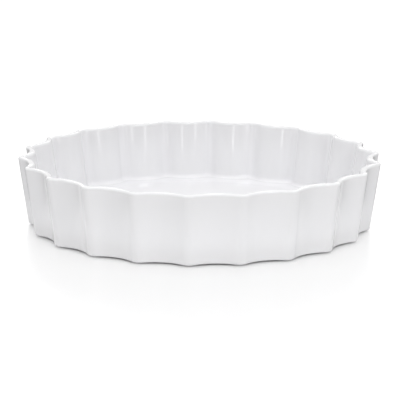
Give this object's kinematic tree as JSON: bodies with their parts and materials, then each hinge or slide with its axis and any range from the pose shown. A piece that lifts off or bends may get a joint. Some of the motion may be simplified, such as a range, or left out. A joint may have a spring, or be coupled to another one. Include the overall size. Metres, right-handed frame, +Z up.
{
  "type": "fluted quiche dish",
  "caption": "Round glazed porcelain quiche dish: a deep, slightly flared wall of wide scallops that meet at narrow ridges, over a flat floor and a low foot ring.",
  "frame": {"origin": "centre of the dish on the plane of the table that it stands on", "axes": "+Z up along the dish's axis; +X through a ridge of the wall and +Y through the middle of a scallop"},
  "size_m": [0.28, 0.2774, 0.054],
  "materials": {
    "glazed_porcelain": "glossy white glaze",
    "bare_porcelain": "matt, left bare of glaze"
  },
  "bodies": {
    "root": {"dish_body": "glazed_porcelain", "foot_ring": "bare_porcelain"}
  },
  "joints": []
}
